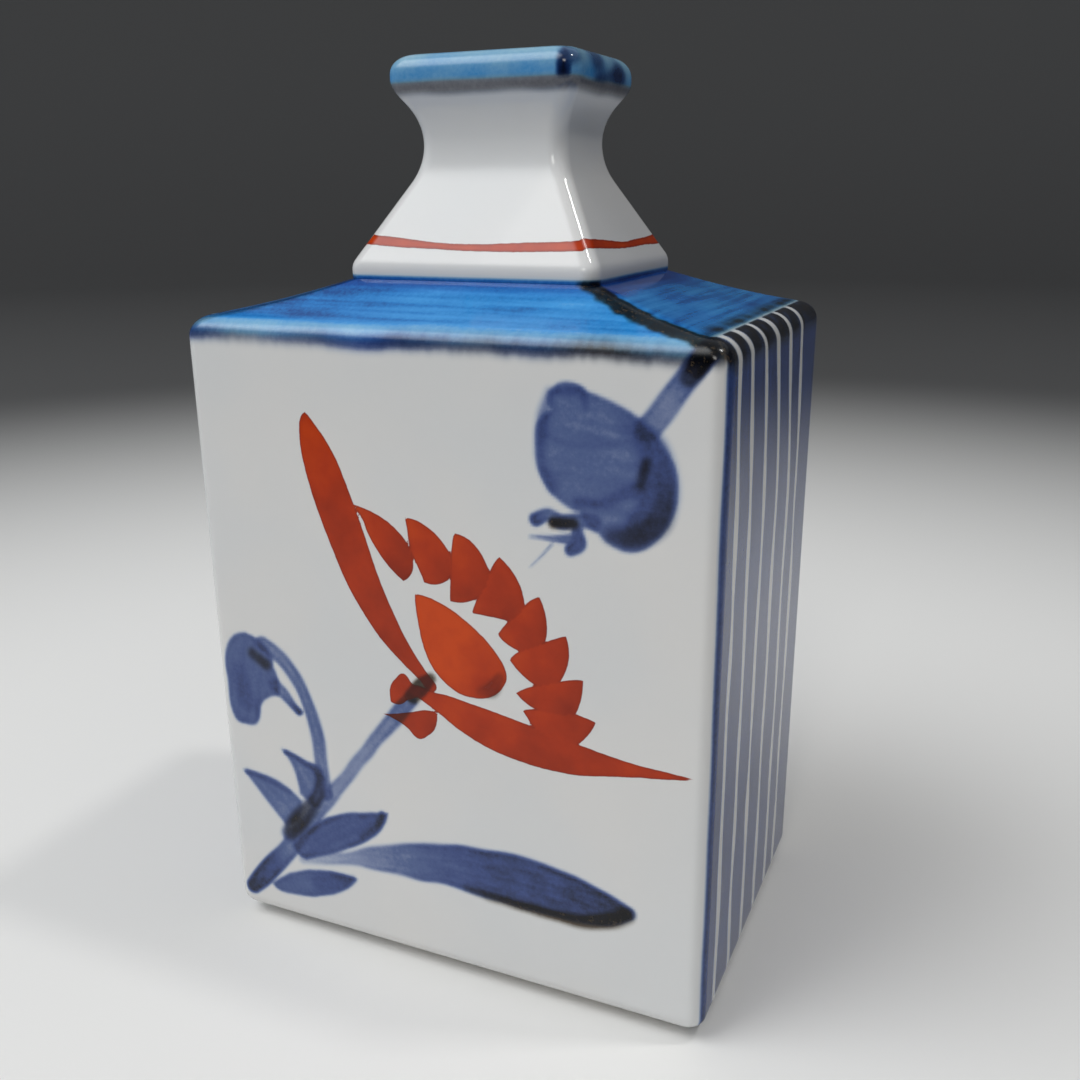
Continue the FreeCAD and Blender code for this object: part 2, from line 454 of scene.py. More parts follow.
def side_columns(reach):
    """Turn (radians) and place (-1 to 1) of each column of a side whose half length is reach."""
    count = round(2 * (reach - corner_round) / spacing)
    turn = np.radians(np.linspace(0, 45, corner_steps + 1))
    turns = np.concatenate([-turn[:0:-1], np.zeros(count + 1), turn[1:]])
    places = np.concatenate([-np.ones(corner_steps), np.linspace(-1, 1, count + 1),
                             np.ones(corner_steps)])
    return turns, places


# Sides in order round the bottle: front, right, back, left
side_across = np.array([(1, 0), (0, 1), (-1, 0), (0, -1)])
side_outward = np.array([(0, -1), (1, 0), (0, 1), (-1, 0)])
side_reach = [half_width, half_depth, half_width, half_depth]
side_plane = [half_depth, half_width, half_depth, half_width]
columns = [side_columns(reach) for reach in side_reach]
side_start = np.cumsum([0] + [len(turns) - 1 for turns, places in columns])
column_count = side_start[-1]


def rounded_rows(half_x, half_y, height, corner):
    """Rows of points, each a rounded rectangle; also each point's side, across and inward."""
    half_x, half_y, height = (np.atleast_1d(v).astype(float)[:, None]
                              for v in (half_x, half_y, height))
    points, sides, acrosses, inwards = [], [], [], []
    for side, (turns, places) in enumerate(columns):
        reach, out = (half_x, half_y) if side % 2 == 0 else (half_y, half_x)
        turns = turns[:-1]
        places = places[:-1]
        across = places * (reach - corner) + corner * np.sin(turns)
        outward = out - corner + corner * np.cos(turns)
        across, outward = np.broadcast_arrays(across, outward)
        flat = (across[..., None] * side_across[side] + outward[..., None] * side_outward[side])
        level = np.broadcast_to(height, across.shape)[..., None]
        points.append(np.concatenate([flat, level], axis=2))
        sides.append(np.full(across.shape, side))
        acrosses.append(across)
        inwards.append(side_plane[side] - outward)
    return [np.concatenate(parts, axis=1) for parts in (points, sides, acrosses, inwards)]


def outside_rows():
    """Half widths and heights of all rows, from the bottom round up and down into the bore."""
    upright = evenly(wall_outline(half_width), spacing)
    roof = evenly(shoulder_outline(half_width, neck_foot_half, roof_start_side), spacing)
    roof_front = shoulder_outline(half_depth, neck_foot_half - neck_depth_less,
                                  roof_start_front)
    rising = evenly(neck_outline(), spacing)
    half_x = np.concatenate([upright[:, 0], roof[1:, 0], rising[1:, 0]])
    half_y = np.concatenate([upright[:, 0] - half_width + half_depth,
                             np.interp(roof[1:, 1], roof_front[:, 1], roof_front[:, 0]),
                             rising[1:, 0] - neck_depth_less])
    height = np.concatenate([upright[:, 1], roof[1:, 1], rising[1:, 1]])
    seam_row = len(upright) - 1
    landing_row = seam_row + len(roof) - 1
    return half_x, half_y, height, seam_row, landing_row


half_x, half_y, row_height, seam_row, landing_row = outside_rows()
net, net_side, net_across, net_inward = rounded_rows(half_x, half_y, row_height, corner_round)
net_height = np.broadcast_to(row_height[:, None], net_side.shape)
row_step = np.gradient(net, axis=0)
wrapped = np.concatenate([net[:, -1:], net, net[:, :1]], axis=1)
column_step = wrapped[:, 2:] - wrapped[:, :-2]
net_normal = np.cross(column_step, row_step)
net_normal /= np.linalg.norm(net_normal, axis=2, keepdims=True)

# -------------------------------------------------------------------------------- painting

paint_layers = ("cobalt", "azure", "iron", "red", "red_tone")
net_paint = {layer: np.zeros(net_side.shape) for layer in paint_layers}
red_inside = np.full(net_side.shape, -red_reach)


def rise(value, low, high):
    """0 below low, 1 above high, smooth between."""
    t = np.clip((value - low) / (high - low), 0, 1)
    return t * t * (3 - 2 * t)


def ripple(x, y, wavelength, seed):
    """Smooth unevenness around 0, from about -1 to 1, with a wavelength in millimetres."""
    total = 0
    for i in range(4):
        angle = seed * 2.4 + i * 1.9
        pace = (0.6 + 0.25 * i) * 2 * math.pi / wavelength
        phase = seed * 5.1 + i * 2.7
        swing = 1.3 * np.sin(x * math.sin(angle) * pace * 0.31 + y * pace * 0.23 + phase)
        total = total + np.sin((x * math.cos(angle) + y * math.sin(angle)) * pace + phase + swing)
    return total / 2.6


def lay(layer, place, amount):
    """Adds a wash to what is there already, as one pigment over another."""
    net_paint[layer][place] = 1 - (1 - net_paint[layer][place]) * (1 - amount)


def smooth_line(points, steps=12):
    """Catmull-Rom curve through given points of any number of values."""
    points = np.array(points, float)
    ends = np.vstack([2 * points[0] - points[1], points, 2 * points[-1] - points[-2]])
    t = np.linspace(0, 1, steps, endpoint=False)[:, None]
    parts = []
    for a, b, c, d in zip(ends, ends[1:], ends[2:], ends[3:]):
        parts.append(0.5 * (2 * b + (c - a) * t + (2 * a - 5 * b + 4 * c - d) * t ** 2
                            + (3 * b - a - 3 * c + d) * t ** 3))
    return np.vstack(parts + [points[-1:]])


def arcs_through(points, steps=8):
    """Closed outline of arcs; every second point is a corner, and the others lie between."""
    outline = []
    count = len(points)
    for i in range(0, count, 2):
        a, b, c = (np.array(points[(i + k) % count], float) for k in range(3))
        t = np.linspace(0, 1, steps, endpoint=False)[:, None]
        pull = 2 * b - (a + c) / 2
        outline.append((1 - t) ** 2 * a + 2 * t * (1 - t) * pull + t ** 2 * c)
    return np.vstack(outline)


def outline_distance(outline, x, z):
    """Distance from the outline, positive inside it."""
    nearest = np.full(x.shape, 1e9)
    inside = np.zeros(x.shape, bool)
    for (ax, az), (bx, bz) in zip(outline, np.roll(outline, -1, axis=0)):
        dx, dz = bx - ax, bz - az
        t = np.clip(((x - ax) * dx + (z - az) * dz) / max(dx * dx + dz * dz, 1e-12), 0, 1)
        nearest = np.minimum(nearest, np.hypot(x - ax - t * dx, z - az - t * dz))
        crosses = (az > z) != (bz > z)
        where = ax + (z - az) * dx / (dz if abs(dz) > 1e-12 else 1e-12)
        inside ^= crosses & (x < where)
    return np.where(inside, nearest, -nearest)


class Face:
    """One side of the bottle to paint on, possibly mirrored and moved."""

    def __init__(self, side, mirror=1, shift=(0, 0)):
        self.rows, self.places = np.nonzero((net_side == side) & (net_height < edge_height)
                                            & (net_inward < top_round))
        self.x = mirror * net_across[self.rows, self.places] - shift[0]
        self.z = net_height[self.rows, self.places] - shift[1]

    def near(self, outline, margin):
        low = outline[:, :2].min(0) - margin
        high = outline[:, :2].max(0) + margin
        found = (self.x > low[0]) & (self.x < high[0]) & (self.z > low[1]) & (self.z < high[1])
        return np.nonzero(found)[0]

    def shaken(self, found, seed):
        """The points' coordinates, a little off, so that edges follow an unsteady hand."""
        x = self.x[found]
        z = self.z[found]
        x = x + 0.10 * ripple(x, z, 7.5, seed)
        z = z + 0.10 * ripple(z, x, 6.1, seed + 1)
        return x, z

    def soak(self, layer, found, amount, inside, soft):
        place = (self.rows[found], self.places[found])
        lay(layer, place, np.clip(amount, 0, 0.97) * rise(inside, -soft, soft))

    def brush(self, points, layer="cobalt", soft=0.40, streak=0.07, seed=1):
        """Stroke along points (x, z, half width, tone), with hairs of the brush along it."""
        line = smooth_line(points)
        found = self.near(line, 4)
        x, z = self.shaken(found, seed)
        gap = np.hypot(x[:, None] - line[:, 0], z[:, None] - line[:, 1])
        inside = (line[:, 2] - gap).max(1)
        nearest = gap.argmin(1)
        tangent = np.gradient(line[:, :2], axis=0)[nearest]
        offset = np.column_stack([x, z]) - line[nearest, :2]
        beside = (tangent[:, 0] * offset[:, 1] - tangent[:, 1] * offset[:, 0])
        beside = beside / (np.hypot(tangent[:, 0], tangent[:, 1]) + 1e-9)
        hairs = ripple(beside, nearest * 0.10, 1.3, seed)
        rim = np.exp(-((inside - 0.25) / 0.45) ** 2)
        tone = line[nearest, 3] * (1 + streak * hairs + 0.16 * rim)
        self.soak(layer, found, tone, inside, soft)

    def wash(self, outline, tone, layer="cobalt", soft=0.40, lean=0.0, seed=1):
        """Patch inside an outline of arcs, streaked in the direction lean (degrees)."""
        outline = arcs_through(outline)
        found = self.near(outline, 1.5)
        x, z = self.shaken(found, seed)
        inside = outline_distance(outline, x, z)
        turn = math.radians(lean)
        along = x * math.cos(turn) + z * math.sin(turn)
        beside = z * math.cos(turn) - x * math.sin(turn)
        hairs = ripple(beside, along * 0.08, 1.6, seed)
        rim = np.exp(-((inside - 0.3) / 0.5) ** 2)
        amount = tone * (1 + 0.08 * hairs + 0.14 * rim)
        self.soak(layer, found, amount, inside, soft)

    def enamel_shape(self, found, inside, tone):
        place = (self.rows[found], self.places[found])
        deeper = inside > red_inside[place]
        red_inside[place] = np.maximum(red_inside[place], inside)
        net_paint["red_tone"][place] = np.where(deeper & (inside > -0.5), tone,
                                                net_paint["red_tone"][place])

    def enamel_brush(self, points):
        line = smooth_line(points)
        found = self.near(line, 4)
        gap = np.hypot(self.x[found, None] - line[:, 0], self.z[found, None] - line[:, 1])
        self.enamel_shape(found, (line[:, 2] - gap).max(1), line[gap.argmin(1), 3])

    def enamel(self, outline, tone, lean=0.0):
        """Red patch; lean makes it deeper towards the bottom right."""
        outline = arcs_through(outline)
        found = self.near(outline, red_reach)
        x, z = self.x[found], self.z[found]
        middle = outline.mean(0)
        deeper = lean * ((x - middle[0]) - (z - middle[1]))
        self.enamel_shape(found, outline_distance(outline, x, z), np.clip(tone + deeper, 0, 1))


def paint_flower(face):
    """Open flower in red: two long outer petals, a saw-edged row and a heart between them."""
    face.enamel_brush([
        (-17.4, 75.9, 0.1, 0.5), (-17.1, 74.0, 1.2, 0.4), (-15.7, 70.0, 2.4, 0.4),
        (-14.0, 65.0, 2.75, 0.5), (-12.2, 60.0, 2.7, 0.55), (-10.3, 55.0, 2.45, 0.55),
        (-7.6, 50.0, 1.95, 0.6), (-5.3, 46.8, 1.4, 0.6), (-2.8, 44.1, 0.9, 0.6),
        (-1.2, 42.4, 0.8, 0.6),
    ])
    face.enamel_brush([
        (-3.2, 41.4, 0.8, 0.5), (-1.0, 40.6, 1.1, 0.4), (1.0, 40.0, 1.6, 0.4),
        (4.0, 38.9, 2.2, 0.45), (8.0, 37.8, 2.65, 0.5), (13.0, 36.9, 2.6, 0.6),
        (18.0, 36.4, 2.15, 0.6), (22.0, 36.4, 1.45, 0.6), (26.0, 36.5, 0.85, 0.5),
        (30.0, 36.7, 0.45, 0.45), (33.4, 36.9, 0.05, 0.45),
    ])
    saw_petals = [
        [(-11.5, 65.0), (-6.4, 63.3), (-3.2, 60.0), (-3.1, 57.5), (-4.5, 55.9), (-7.2, 58.3),
         (-9.5, 61.9), (-10.1, 63.4)],
        [(-3.9, 64.1), (-0.6, 63.1), (2.2, 60.2), (2.3, 58.3), (1.9, 57.0), (0.3, 56.1),
         (-1.6, 56.1), (-2.3, 57.8), (-3.4, 59.8), (-3.6, 61.9)],
        [(2.7, 62.9), (5.4, 61.8), (7.3, 58.7), (7.0, 56.5), (5.6, 55.1), (3.8, 54.3),
         (1.9, 54.2), (2.0, 57.0), (2.2, 60.2), (2.4, 61.5)],
        [(8.6, 60.7), (10.9, 58.2), (11.8, 55.1), (11.3, 53.6), (9.8, 52.8), (7.3, 53.0),
         (4.8, 53.1), (5.8, 55.6), (7.3, 58.7), (7.9, 59.8)],
        [(13.7, 56.5), (14.6, 53.6), (14.4, 50.9), (13.0, 49.6), (11.3, 49.1), (9.3, 49.9),
         (8.2, 50.9), (9.7, 52.9), (11.8, 55.1), (12.6, 55.9)],
        [(17.0, 52.1), (17.4, 49.2), (16.3, 46.2), (14.8, 45.2), (13.3, 45.0), (11.3, 46.2),
         (9.7, 47.9), (11.7, 49.7), (14.4, 50.9), (15.8, 51.6)],
        [(19.2, 46.9), (19.0, 44.6), (18.3, 42.4), (16.0, 41.4), (13.0, 42.0), (11.6, 42.7),
         (10.5, 43.7), (13.2, 45.2), (16.3, 46.2), (17.8, 46.7)],
        [(20.8, 41.8), (19.9, 40.0), (18.4, 38.2), (15.5, 38.0), (12.8, 39.4), (12.1, 40.4),
         (11.3, 41.6), (14.5, 42.2), (18.3, 42.4), (19.6, 42.1)],
    ]
    for petal in saw_petals:
        face.enamel(petal, 0.52, 0.035)
    face.enamel([(-3.0, 54.5), (1.5, 53.4), (6.3, 50.2), (8.7, 47.4), (9.3, 45.2), (8.4, 43.5),
                 (6.8, 42.3), (4.6, 41.9), (2.6, 42.2), (-0.6, 44.6), (-2.3, 48.5),
                 (-2.8, 51.5)], 0.10, 0.040)
    # A brown pool where the brush was lifted from the heart
    face.brush([(5.6, 42.9, 0.6, 0.20), (7.2, 43.5, 1.0, 0.34), (8.4, 45.2, 0.7, 0.28)],
               "iron", 0.4, seed=37)
    face.enamel([(-4.2, 42.6), (-5.2, 43.5), (-6.3, 42.6), (-7.2, 41.2), (-7.2, 39.2),
                 (-6.0, 39.0), (-4.8, 39.8), (-3.4, 40.5), (-2.5, 41.6), (-3.6, 42.1)], 0.5)
    face.enamel([(-8.7, 37.2), (-5.6, 37.9), (-2.5, 38.9), (-1.4, 39.0), (-0.5, 38.8),
                 (-0.8, 36.8), (-2.0, 35.4), (-3.2, 34.7), (-4.4, 35.4), (-6.0, 36.5)], 0.55)


def paint_stem(face):
    """Blue stem from the bottom left corner up to the flower, with its leaves and a bud."""
    face.brush([
        (-32.3, 5.0, 1.2, 0.93), (-30.5, 7.0, 1.5, 0.85), (-28.5, 9.3, 1.5, 0.75),
        (-25.5, 12.8, 1.5, 0.50), (-22.0, 17.3, 1.2, 0.45), (-19.0, 21.3, 1.15, 0.42),
        (-15.5, 25.8, 1.0, 0.36), (-12.0, 30.3, 0.95, 0.36), (-9.0, 34.2, 1.0, 0.42),
        (-6.5, 37.3, 1.1, 0.48), (-4.4, 39.8, 1.0, 0.50),
    ], seed=2)
    face.brush([(-4.0, 40.6, 1.0, 0.70), (-2.6, 42.1, 1.1, 0.85), (-1.2, 43.5, 0.7, 0.6)],
               "iron", seed=3)
    face.brush([
        (-18.2, 23.5, 1.1, 0.45), (-18.7, 28.0, 1.0, 0.45), (-19.0, 32.0, 1.0, 0.48),
        (-19.8, 35.5, 1.0, 0.48), (-21.3, 39.0, 1.0, 0.48), (-23.8, 42.2, 1.1, 0.46),
        (-26.8, 44.0, 1.1, 0.46),
    ], seed=4)
    face.wash([
        (-33.2, 38.0), (-32.6, 43.0), (-29.5, 45.1), (-26.3, 43.8), (-25.3, 40.8), (-24.6, 38.6),
        (-24.9, 36.6), (-27.0, 36.0), (-28.2, 34.4), (-28.9, 31.9), (-30.8, 31.4), (-32.9, 32.8),
    ], 0.60, lean=80, seed=5)
    face.brush([(-31.2, 39.5, 1.1, 0.25), (-30.3, 35.0, 1.3, 0.30)], soft=0.9, seed=6)
    face.brush([(-28.6, 42.3, 0.7, 0.45), (-26.7, 41.0, 0.8, 0.55)], "iron", 0.6, seed=7)
    face.brush([(-25.3, 38.3, 1.0, 0.40), (-24.0, 37.2, 0.9, 0.48), (-22.8, 35.9, 0.6, 0.6),
                (-21.8, 35.0, 0.5, 0.85)], seed=8)
    # Two leaves on the left, with iron where they cross the stem
    face.wash([(-25.1, 28.8), (-21.8, 27.7), (-18.6, 26.6), (-19.3, 24.3), (-20.4, 21.3),
               (-21.6, 21.7), (-22.6, 22.4), (-23.4, 26.0)], 0.50, lean=-60, seed=9)
    face.brush([(-24.4, 28.3, 0.35, 0.7), (-21.5, 27.4, 0.45, 0.6), (-19.4, 26.4, 0.8, 0.65),
                (-19.2, 24.0, 0.9, 0.55), (-20.3, 21.8, 1.0, 0.6)], seed=10)
    face.wash([(-32.1, 24.0), (-27.0, 23.8), (-22.6, 21.3), (-23.2, 18.5), (-25.4, 16.8),
               (-28.7, 20.3)], 0.50, lean=-35, seed=11)
    face.brush([(-31.4, 23.9, 0.4, 0.5), (-28.0, 23.3, 0.4, 0.35), (-24.5, 22.3, 0.4, 0.3)],
               seed=12)
    face.brush([(-25.0, 15.4, 1.2, 0.45), (-23.4, 17.6, 1.5, 0.45), (-21.2, 20.6, 1.2, 0.35)],
               soft=0.6, seed=36)
    face.brush([(-24.9, 15.6, 0.9, 0.50), (-23.7, 17.2, 1.3, 0.60), (-22.3, 18.9, 1.3, 0.56),
                (-20.8, 20.9, 1.0, 0.40), (-19.6, 23.0, 0.8, 0.3), (-19.2, 25.5, 0.6, 0.25)],
               "iron", 0.7, seed=13)
    # Three leaves on the right
    face.wash([(-24.5, 13.6), (-18.3, 19.6), (-8.6, 22.6), (-12.3, 17.4), (-22.5, 12.1),
               (-23.8, 12.6)], 0.68, lean=33, seed=14)
    face.brush([(-9.4, 22.2, 0.4, 0.75), (-10.3, 20.5, 0.5, 0.7), (-13.0, 17.9, 0.35, 0.5)],
               soft=0.5, seed=15)
    face.brush([
        (-23.0, 11.8, 0.7, 0.20), (-19.0, 12.9, 0.9, 0.26), (-15.0, 14.1, 1.1, 0.32),
        (-10.0, 15.3, 1.9, 0.44), (-5.0, 16.2, 2.6, 0.54), (0.0, 17.0, 3.0, 0.64),
        (5.0, 17.2, 3.5, 0.74), (10.0, 17.3, 3.7, 0.78), (15.0, 17.1, 3.55, 0.80),
        (20.0, 16.7, 2.85, 0.84), (23.2, 16.6, 1.9, 0.90), (25.1, 16.8, 1.0, 0.94),
    ], soft=0.5, seed=16)
    face.brush([(3.0, 14.2, 0.3, 0.4), (8.0, 13.9, 0.6, 0.7), (14.0, 13.8, 0.7, 0.8),
                (19.0, 13.9, 0.9, 0.85), (22.5, 14.9, 1.1, 0.8), (25.0, 16.5, 0.9, 0.8)],
               "iron", 0.7, seed=17)
    face.wash([(-28.8, 6.4), (-22.0, 10.4), (-14.2, 11.0), (-18.2, 7.4), (-25.5, 5.6),
               (-27.6, 5.5)], 0.60, lean=16, seed=18)
    face.brush([(-20.5, 8.9, 1.2, 0.3), (-17.0, 9.9, 0.9, 0.45), (-14.8, 10.8, 0.3, 0.6)],
               soft=0.7, seed=19)


def paint_hanging_bud(face):
    """Blue bud that hangs on a stalk from the top right corner."""
    face.brush([(32.6, 85.5, 1.2, 0.8), (31.1, 83.6, 1.3, 0.6), (29.0, 80.6, 1.35, 0.42),
                (26.3, 77.0, 1.4, 0.42)], seed=21)
    face.brush([(32.7, 85.9, 1.0, 0.93), (31.8, 84.4, 1.1, 0.85), (30.7, 82.9, 0.9, 0.45)],
               "iron", 0.5, seed=22)
    face.wash([
        (13.4, 75.6), (13.9, 77.3), (15.3, 78.4), (14.9, 79.8), (15.7, 81.0), (17.4, 81.7),
        (19.4, 80.7), (23.5, 79.3), (27.6, 76.4), (29.9, 71.0), (28.2, 65.4), (24.6, 63.3),
        (21.0, 65.0), (19.6, 65.8), (18.7, 67.2), (17.4, 67.6), (15.4, 68.8), (13.7, 71.6),
    ], 0.53, lean=-6, seed=23)
    face.brush([(24.0, 77.8, 0.9, 0.25), (26.8, 75.0, 1.7, 0.50), (27.6, 71.5, 2.1, 0.50),
                (27.2, 68.0, 2.1, 0.56), (25.0, 65.3, 1.5, 0.65), (22.4, 64.9, 0.8, 0.50)],
               soft=1.0, seed=24)
    face.brush([(28.6, 71.0, 0.8, 0.22), (28.0, 67.5, 1.3, 0.36), (25.4, 65.1, 1.1, 0.46),
                (22.6, 64.8, 0.7, 0.30)], "iron", 0.9, seed=35)
    face.brush([(15.2, 80.3, 0.5, 0.35), (14.2, 77.0, 0.7, 0.40), (14.1, 73.0, 0.6, 0.32),
                (15.4, 69.7, 0.6, 0.35)], soft=0.7, seed=25)
    face.brush([(16.2, 80.8, 0.5, 0.4), (18.6, 80.8, 0.5, 0.4), (19.3, 79.0, 0.4, 0.3)],
               soft=0.5, seed=26)
    face.brush([(18.5, 68.3, 0.6, 0.45), (22.0, 68.7, 0.6, 0.42), (25.2, 70.6, 0.8, 0.4)],
               soft=0.7, seed=27)
    face.brush([(14.5, 75.6, 0.4, 0.3), (19.0, 74.7, 0.3, 0.15), (24.0, 75.6, 0.4, 0.2)],
               soft=0.6, seed=28)
    face.brush([(26.3, 73.4, 0.5, 0.55), (25.8, 71.0, 0.5, 0.45)], "iron", 0.6, seed=29)
    face.brush([(13.3, 65.8, 0.8, 0.75), (14.7, 66.5, 0.8, 0.5), (16.4, 65.9, 0.9, 0.6),
                (18.4, 66.2, 0.8, 0.55), (20.4, 66.2, 0.9, 0.4)], soft=0.4, seed=30)
    face.brush([(15.6, 65.6, 0.6, 0.9), (17.8, 65.7, 0.6, 0.7)], "iron", 0.5, seed=31)
    face.brush([(18.4, 64.8, 0.7, 0.65), (18.6, 63.4, 0.85, 0.7), (17.7, 62.7, 0.7, 0.75)],
               soft=0.4, seed=32)
    face.brush([(12.7, 63.6, 0.2, 0.3), (15.0, 63.7, 0.35, 0.4), (17.3, 63.9, 0.6, 0.5)],
               soft=0.3, seed=33)
    face.brush([(12.7, 60.1, 0.1, 0.25), (14.0, 61.5, 0.15, 0.3), (15.2, 63.0, 0.2, 0.3)],
               soft=0.25, seed=34)


# White gaps between the stripes: (across low down, across at the top) in millimetres
stripe_gaps = [
    (-18.4, -20.2), (-11.7, -14.9), (-4.9, -8.9), (2.3, -2.2), (9.0, 4.8), (14.8, 11.6),
]
stripe_half_gap = 0.9
stripe_bend_height = 62.0   # above this the stripes start to lean


def stripe_inside(across, height):
    """Distance into the nearest stripe of a narrow side, negative in the white gaps."""
    lean = np.clip((height - stripe_bend_height) / (edge_height - stripe_bend_height), 0, 1) ** 1.6
    inside = np.full(across.shape, 99.0)
    for i, (low, high) in enumerate(stripe_gaps):
        wander = 0.30 * ripple(height, 0, 26.0, i + 3)
        middle = low + (high - low) * lean + wander
        half = stripe_half_gap + 0.22 * ripple(height, 0, 17.0, i + 11)
        inside = np.minimum(inside, np.abs(across - middle) - half)
    ends = half_depth - 0.7 + 0.10 * ripple(height, 0, 21.0, 5)
    return np.minimum(inside, ends - np.abs(across))


def paint_stripes():
    """Upright blue stripes on the two narrow sides, running over the edge at the top."""
    for side, face in ((1, 1), (3, -1)):
        x, y = face * net[..., 0], net[..., 1]
        on_corner = (np.abs(y) > half_depth - corner_round) & (x > half_width - corner_round)
        place = np.nonzero(((net_side == side) | on_corner) & (net_height < edge_height)
                           & (x > half_width - 2 * top_round))
        height, inward = net_height[place], half_width - x[place]
        # Round the corner, the way across goes on along the curve
        past = np.clip(np.abs(y[place]) - half_depth + corner_round, 0, None)
        turned = np.arctan2(past, np.clip(corner_round - inward, 0.01, None))
        rounded = half_depth - corner_round + corner_round * turned
        across = np.where(past > 0, np.sign(y[place]) * rounded, y[place])
        inside = stripe_inside(across, height)
        cover = rise(inside, -0.34, 0.34) * rise(height, foot_top, foot_top + 1.6)
        hairs = ripple(across * 1.8, height * 0.03, 1.7, side)
        slow = ripple(across * 0.3, height, 31.0, side + 4)
        rim = np.exp(-((inside - 0.3) / 0.4) ** 2)
        tone = 0.74 * (1 + 0.06 * hairs + 0.08 * slow + 0.12 * rim)
        # Brown iron where the stripes turn over the edge at the top
        curl = rise(height, edge_height - 4.4, edge_height - 1.6)
        curl = curl * (0.72 + 0.20 * ripple(across, inward, 2.3, side))
        net_paint["cobalt"][place] = np.clip(tone * (1 - 0.55 * curl), 0, 0.95) * cover
        net_paint["azure"][place] = 0.12 * cover
        net_paint["iron"][place] = np.clip(curl, 0, 0.95) * cover


def paint_shoulder():
    """Azure wash on the four slopes, pale over the edges, dark lines where it pooled, painted
    shade at the neck.
    """
    place = np.nonzero(net_height < landing_height + 1.2)
    side, across = net_side[place], net_across[place]
    height, inward = net_height[place], net_inward[place]
    narrow = (side % 2) == 1
    uneven = ripple(across, side * 40, 16.0, 7)
    fine = ripple(across, inward + side * 30, 6.0, 8)
    feather = ripple(across, side * 20, 1.3, 19)
    feather = feather + ripple(across, side * 20, 3.3, 21)
    feather = feather * (0.8 + 0.6 * uneven)
    # The wide sides: a pooled line under the edge and a pale edge
    top = edge_height - 2.20 + 0.22 * uneven + 0.07 * feather
    started = rise(height, top - 0.30, top + 0.90)
    feathered = rise(height, top - 1.75, top + 0.40)
    pooled = feathered * np.exp(-((height - top - 0.10) / 1.10) ** 2)
    up_slope = rise(inward, 0.8, 2.8)
    streaks = ripple(inward + 0.01 * across, across * 0.06, 1.5, 9)
    streaks = streaks + 0.8 * ripple(inward + 0.02 * across, across * 0.05, 0.8, 22)
    blotch = ripple(across, inward * 2, 14.0, 10)
    first_end = rise(-across, -6, 24)
    wide_azure = started * (0.40 + 0.34 * up_slope * (1 + 0.22 * streaks + 0.12 * blotch)
                            + 0.14 * up_slope * first_end)
    last_end = rise(across, 0, 26)
    wide_cobalt = pooled * (0.46 - 0.16 * last_end) * (1 + 0.5 * blotch)
    wide_cobalt = wide_cobalt + 0.10 * up_slope * first_end
    # Deeper blue in the crease at the foot of the neck: partly pooled glaze, partly painted shade
    neck_foot_pool_and_shade = rise(height, landing_height - 1.6, landing_height - 0.1)
    wide_cobalt = wide_cobalt + 0.34 * neck_foot_pool_and_shade
    wide_iron = pooled * (0.29 + 0.18 * uneven + 0.18 * last_end)
    # The narrow sides: deeper blue, with the stripes' dark ends at its edge
    edge = rise(inward, 1.9, 3.6)
    narrow_azure = edge * (0.80 + 0.10 * streaks)
    narrow_cobalt = edge * (0.10 + 0.08 * blotch + 0.45 * neck_foot_pool_and_shade)
    narrow_iron = 0.65 * edge * np.exp(-((inward - 3.0) / 1.3) ** 2) * (1 + 0.4 * fine)
    # The ridges: iron, heaviest at the front right
    x, y = net[place][:, 0], net[place][:, 1]
    low_end = np.array((half_width - 0.6, half_depth - 0.6))
    high_end = np.array((neck_foot_half - 0.4, neck_foot_half - neck_depth_less - 0.4))
    run = low_end - high_end
    run = run / np.hypot(*run)
    beside = (np.abs(x) - high_end[0]) * -run[1] + (np.abs(y) - high_end[1]) * run[0]
    far = (np.abs(x) - high_end[0]) * run[0] + (np.abs(y) - high_end[1]) * run[1]
    heavy = np.where((x > 0) & (y < 0), 1.0, np.where((x < 0) & (y > 0), 0.7, 0.35))
    length = np.hypot(*(low_end - high_end))
    bulge = 0.9 * np.sin(np.pi * np.clip(far / length, 0, 1))
    half = 0.45 + 0.65 * heavy + 0.22 * ripple(far, 0, 4.0, 12) * heavy
    half = half + 0.10 * ripple(far, beside, 1.6, 20) * heavy
    line = rise(half - np.abs(beside - bulge * heavy), -0.45, 0.45)
    ridge = heavy * line * rise(height, edge_height - 2.8, edge_height - 1.2)
    under_neck = rise(height, landing_height + 0.75, landing_height + 0.1)
    for layer, wide_amount, narrow_amount in (
        ("azure", wide_azure, narrow_azure),
        ("cobalt", wide_cobalt, narrow_cobalt),
        ("iron", wide_iron, narrow_iron),
    ):
        amount = np.where(narrow, narrow_amount, wide_amount)
        if layer == "iron":
            amount = np.maximum(amount, ridge * 0.95)
        lay(layer, place, np.clip(amount, 0, 0.97) * under_neck)


red_line_height = 94.95
lip_blue_low = 113.65       # lower edge of the lip's blue, outside ...
bore_blue_low = 114.6       # ... and inside the bore
lip_grey_low = 112.2
smear_across = 10.9         # place of the dark smear near a wide side's corner


